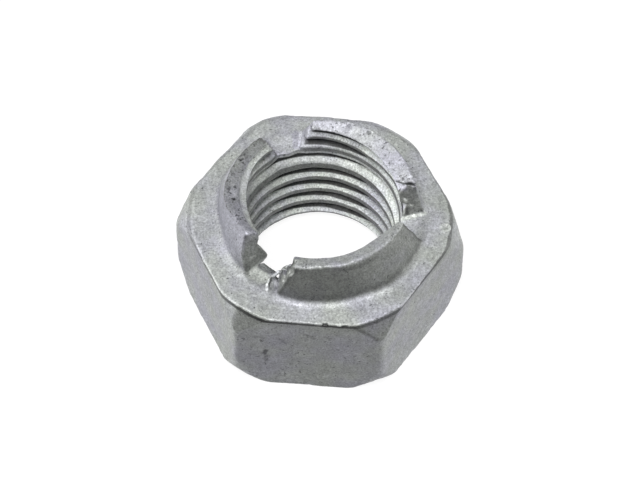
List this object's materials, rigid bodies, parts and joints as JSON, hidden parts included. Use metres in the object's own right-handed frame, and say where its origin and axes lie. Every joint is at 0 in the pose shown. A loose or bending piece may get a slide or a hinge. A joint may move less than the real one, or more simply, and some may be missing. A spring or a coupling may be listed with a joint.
{
  "type": "self-locking hexagon nut",
  "caption": "Hexagon nut of one piece, with a slotted collar whose segments are pressed in to grip the bolt's thread.",
  "frame": {"origin": "centre of the bearing face, on the thread's axis", "axes": "+Z runs along the thread's axis from the bearing face to the collar; two corners of the hexagon lie on the X axis and two flats face along Y"},
  "size_m": [0.0274, 0.024, 0.0151],
  "materials": {
    "coated_steel": "matt grey zinc-flake coating on forged steel, mottled, with dark specks and small pits"
  },
  "bodies": {
    "root": {"nut": "coated_steel"}
  },
  "joints": []
}
